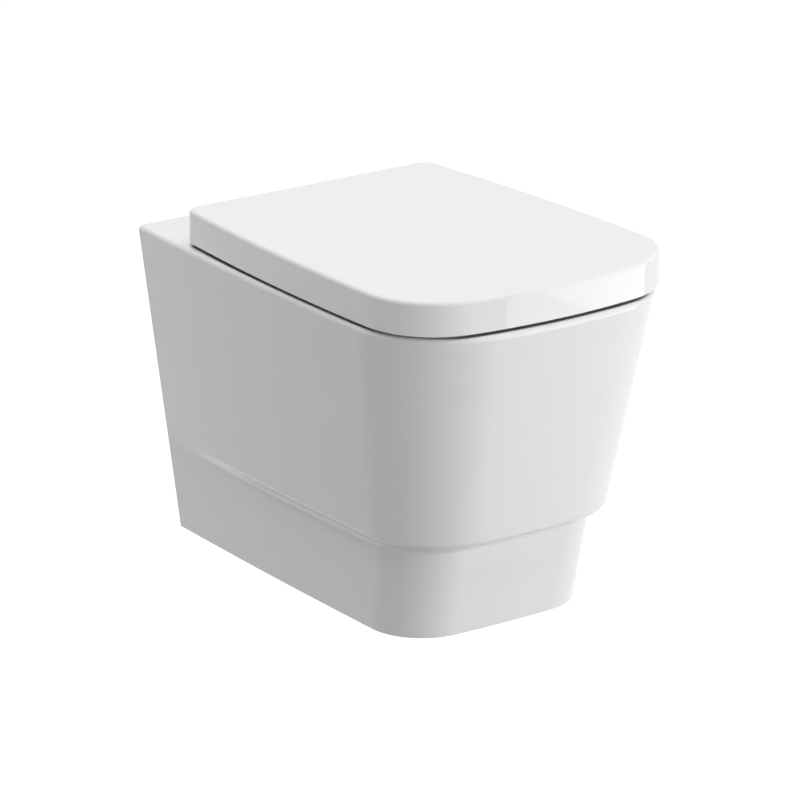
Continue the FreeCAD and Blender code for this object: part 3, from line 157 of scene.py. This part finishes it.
def at_wall(look):
    """1 on the rear face, which is bare of glaze, and 0 in front of it."""
    split = look.nodes.new("ShaderNodeSeparateXYZ")
    look.links.new(look.place, split.inputs["Vector"])
    reach = look.nodes.new("ShaderNodeMapRange")
    reach.inputs["From Min"].default_value = -BARE_DEPTH
    reach.inputs["From Max"].default_value = -0.5 * BARE_DEPTH
    look.links.new(split.outputs["Y"], reach.inputs["Value"])
    return reach.outputs["Result"]


def glazed_china(name):
    """White glaze over vitreous china: mirror smooth with a slow wave, bare clay on the rear face, and
    painted shade in narrow slits.
    """
    look = Look(name)
    wave = look.noise(GLAZE_WAVE)
    glaze = look.ramp(wave, GENTLE, THIN_GLAZE, WHITE)
    clay = look.ramp(look.noise(CLAY_GRAIN, detail=4), CRISP, DARK_CLAY, PALE_CLAY)
    bare = at_wall(look)
    # the glaze's colour is multiplied by painted shade in narrow slits
    look.feed(Base_Color=look.multiply(look.mix(glaze, clay, bare), painted_slit_shade(look)),
              Roughness=look.ramp(bare, (0, 1), GLAZE_ROUGH, CLAY_ROUGH),
              Normal=look.bump(wave, WAVE_STRENGTH, GLAZE_WAVE_HEIGHT))
    return look.mat


# ---------------------------------------------------------------- plastic, rubber and metal

SINK_WAVE, SINK_HEIGHT, SINK_SHADE = 20, 0.0002, 0.985
GRAIN_STRENGTH, MARKS_STRENGTH = 0.5, 0.4
SINK_SPREAD, GRAIN_SPREAD, MARKS_SPREAD = (1, 1.3), (0.85, 1.15), (0.8, 1.25)
EVEN, ALONG_X, ALONG_Z = (1, 1, 1), (0.05, 1, 1), (1, 1, 0.05)    # how tool marks are drawn out


def moulded(name, colour, roughness):
    """Moulded plastic: one colour with a slow sink wave and a slight change of gloss."""
    look = Look(name)
    sink = look.noise(SINK_WAVE)
    look.textured(sink, colour, SINK_SHADE, roughness, SINK_SPREAD, WAVE_STRENGTH, SINK_HEIGHT)
    return look.mat


def grained(name, colour, roughness, grain, height, shade=0.85):
    """Rubber or spark-textured nylon: a fine even grain that breaks up the shine."""
    look = Look(name)
    fine = look.noise(grain, detail=4, roughness=0.6)
    look.textured(fine, colour, shade, roughness, GRAIN_SPREAD, GRAIN_STRENGTH, height, stretch=CRISP)
    return look.mat


def metal(name, colour, roughness, marks, lines=EVEN, height=2e-5, shade=0.9):
    """Bare or plated metal with the marks of its making."""
    look = Look(name)
    tooled = look.noise(marks, detail=3, roughness=0.6, place=look.stretched(lines))
    look.textured(tooled, colour, shade, roughness, MARKS_SPREAD, MARKS_STRENGTH, height)
    look.shader.inputs["Metallic"].default_value = 1.0
    return look.mat


SLOTS = {
    "china": glazed_china("glaze"),
    "white_plastic": moulded("seat_plastic", WHITE, 0.02),
    "black_rubber": grained("black_rubber", (0.025, 0.025, 0.026), 0.65, grain=1500, height=6e-5),
    "clear_grey_rubber": grained("grey_rubber", (0.6, 0.61, 0.61), 0.35, grain=500, height=2e-5, shade=0.95),
    "white_nylon": grained("white_nylon", (0.82, 0.82, 0.8), 0.45, grain=1200, height=3e-5, shade=0.95),
    "grey_nylon": grained("grey_nylon", (0.5, 0.51, 0.52), 0.45, grain=1200, height=3e-5, shade=0.92),
    "dark_plastic": grained("dark_plastic", (0.05, 0.05, 0.055), 0.4, grain=1500, height=4e-5),
    "zinc_steel": metal("zinc_steel", (0.66, 0.67, 0.7), 0.35, marks=250),
    "stainless_steel": metal("stainless_steel", (0.62, 0.61, 0.6), 0.28, marks=1200, lines=ALONG_X),
    "chromed_metal": metal("chromed_metal", (0.84, 0.85, 0.87), 0.06, marks=40, height=1e-5, shade=0.97),
    "brass": metal("brass", (0.75, 0.56, 0.25), 0.28, marks=900, lines=ALONG_Z),
}

for part in frame["record"]["subparts"]:
    node = frame["nodes"][part["node"]]
    node.data.materials.clear()
    node.data.materials.append(SLOTS[part["material_slot"]])


# ---------------------------------------------------------------- camera

def towards(azimuth, elevation):
    """The direction out from the toilet at a compass angle in degrees: 0 is the front, 90 the right."""
    a, e = math.radians(azimuth), math.radians(elevation)
    return Vector((math.sin(a) * math.cos(e), -math.cos(a) * math.cos(e), math.sin(e)))


# The photo's view: where the camera stands, and the direction that it looks straight against.
EYE = Vector((-2.88033, -4.25898, 1.58264))
EYE_AZIMUTH, EYE_ELEVATION = -35.7028, 18.5845
LENS, SENSOR = 224.52, 36.0
CLIP_NEAR, CLIP_FAR = 0.1, 100

cam = bpy.data.objects.new("camera", bpy.data.cameras.new("camera"))
scene.collection.objects.link(cam)
scene.camera = cam
cam.data.lens, cam.data.sensor_width = LENS, SENSOR
cam.data.clip_start, cam.data.clip_end = CLIP_NEAR, CLIP_FAR
cam.location = EYE
cam.rotation_mode = "QUATERNION"
cam.rotation_quaternion = (-towards(EYE_AZIMUTH, EYE_ELEVATION)).to_track_quat("-Z", "Y")


# ---------------------------------------------------------------- floor and background

FLOOR_DROP = 0.35      # floor below the pan's underside
FLOOR_HALF = 25.0
FLOOR_COLOUR = 0.4
FLOOR_GLOW = 0.9       # what the camera sees on top of the light that the floor throws back
ROOM_GLOW, BACKDROP_GLOW = 0.184, 1.0


def seen(tree):
    """1 for rays from the camera or by way of a mirror or glass, 0 for light on its way to a surface."""
    path = tree.nodes.new("ShaderNodeLightPath")
    total = path.outputs["Is Camera Ray"]
    for name in ("Is Glossy Ray", "Is Transmission Ray"):
        add = tree.nodes.new("ShaderNodeMath")
        add.operation, add.use_clamp = "ADD", True
        tree.links.new(total, add.inputs[0])
        tree.links.new(path.outputs[name], add.inputs[1])
        total = add.outputs["Value"]
    return total


def split_by_ray(tree, lighting, shown, output):
    """Lights surfaces by one shader and shows the other to the camera and to mirrors."""
    mixed = tree.nodes.new("ShaderNodeMixShader")
    tree.links.new(seen(tree), mixed.inputs["Fac"])
    tree.links.new(lighting, mixed.inputs[1])
    tree.links.new(shown, mixed.inputs[2])
    tree.links.new(mixed.outputs["Shader"], tree.nodes[output].inputs["Surface"])


def floor_material():
    """Matt grey that keeps the toilet's shadow, lifted to near white by a glow that lights nothing."""
    mat = bpy.data.materials.new("floor")
    mat.use_nodes = True
    tree = mat.node_tree
    tree.nodes.remove(tree.nodes["Principled BSDF"])
    matt = tree.nodes.new("ShaderNodeBsdfDiffuse")
    matt.inputs["Color"].default_value = rgba(FLOOR_COLOUR)
    glow = tree.nodes.new("ShaderNodeEmission")
    glow.inputs["Strength"].default_value = FLOOR_GLOW
    lifted = tree.nodes.new("ShaderNodeAddShader")
    tree.links.new(matt.outputs["BSDF"], lifted.inputs[0])
    tree.links.new(glow.outputs["Emission"], lifted.inputs[1])
    split_by_ray(tree, matt.outputs["BSDF"], lifted.outputs["Shader"], "Material Output")
    return mat


mesh = bpy.data.meshes.new("floor")
z, r = cad_lo.z - FLOOR_DROP, FLOOR_HALF
mesh.from_pydata([(-r, -r, z), (r, -r, z), (r, r, z), (-r, r, z)], [], [(0, 1, 2, 3)])
mesh.materials.append(floor_material())
floor = bpy.data.objects.new("floor", mesh)
scene.collection.objects.link(floor)

world = bpy.data.worlds.new("studio")
scene.world = world
world.use_nodes = True
room = world.node_tree.nodes["Background"]
backdrop = world.node_tree.nodes.new("ShaderNodeBackground")
for node, strength in ((room, ROOM_GLOW), (backdrop, BACKDROP_GLOW)):
    node.inputs["Color"].default_value = rgba(1)
    node.inputs["Strength"].default_value = strength
split_by_ray(world.node_tree, room.outputs["Background"], backdrop.outputs["Background"], "World Output")


# ---------------------------------------------------------------- lamps

SOFTBOX_AIM = Vector((0, -0.3, -0.05))
SOFTBOX_AWAY = 2.5
CARD_LEFT, CARD_RIGHT = (0.659, -1.987), (1.442, -0.997)    # in plan
CARD_FOOT, CARD_SEAM, CARD_TOP = -0.6, -0.358, 0.3


def panel(name, at, facing, width, height, radiance):
    """An evenly bright soft panel at a place, facing along a direction, its width level."""
    light = bpy.data.lights.new(name, "AREA")
    light.shape, light.size, light.size_y = "RECTANGLE", width, height
    light.energy = radiance * math.pi * width * height
    obj = bpy.data.objects.new(name, light)
    scene.collection.objects.link(obj)
    obj.location = at
    obj.rotation_mode = "QUATERNION"
    obj.rotation_quaternion = facing.to_track_quat("-Z", "Y")
    obj.visible_camera = False
    return obj


def softbox(name, azimuth, elevation, size, radiance):
    """A square panel that looks at the toilet from a compass direction.

    Glossy surfaces show the white backdrop in its place, so that no side of the toilet washes out."""
    out = towards(azimuth, elevation)
    light = panel(name, SOFTBOX_AIM + SOFTBOX_AWAY * out, -out, size, size, radiance)
    light.visible_glossy = False


def card(name, low, high, radiance):
    """A stretch of the upright reflector that the cover's glossy front shows, between two heights."""
    (x1, y1), (x2, y2) = CARD_LEFT, CARD_RIGHT
    width = math.hypot(x2 - x1, y2 - y1)
    middle = ((x1 + x2) / 2, (y1 + y2) / 2, (low + high) / 2)
    panel(name, middle, Vector((y1 - y2, x2 - x1, 0)), width, high - low, radiance)


softbox("top", azimuth=0, elevation=90, size=4.0, radiance=1.266)
softbox("front", azimuth=0, elevation=15, size=2.0, radiance=1.376)
softbox("left_back", azimuth=-150, elevation=15, size=2.5, radiance=0.784)
card("card", CARD_SEAM, CARD_TOP, radiance=2.7)
card("low_card", CARD_FOOT, CARD_SEAM, radiance=1.56)

scene.view_settings.view_transform = "Standard"
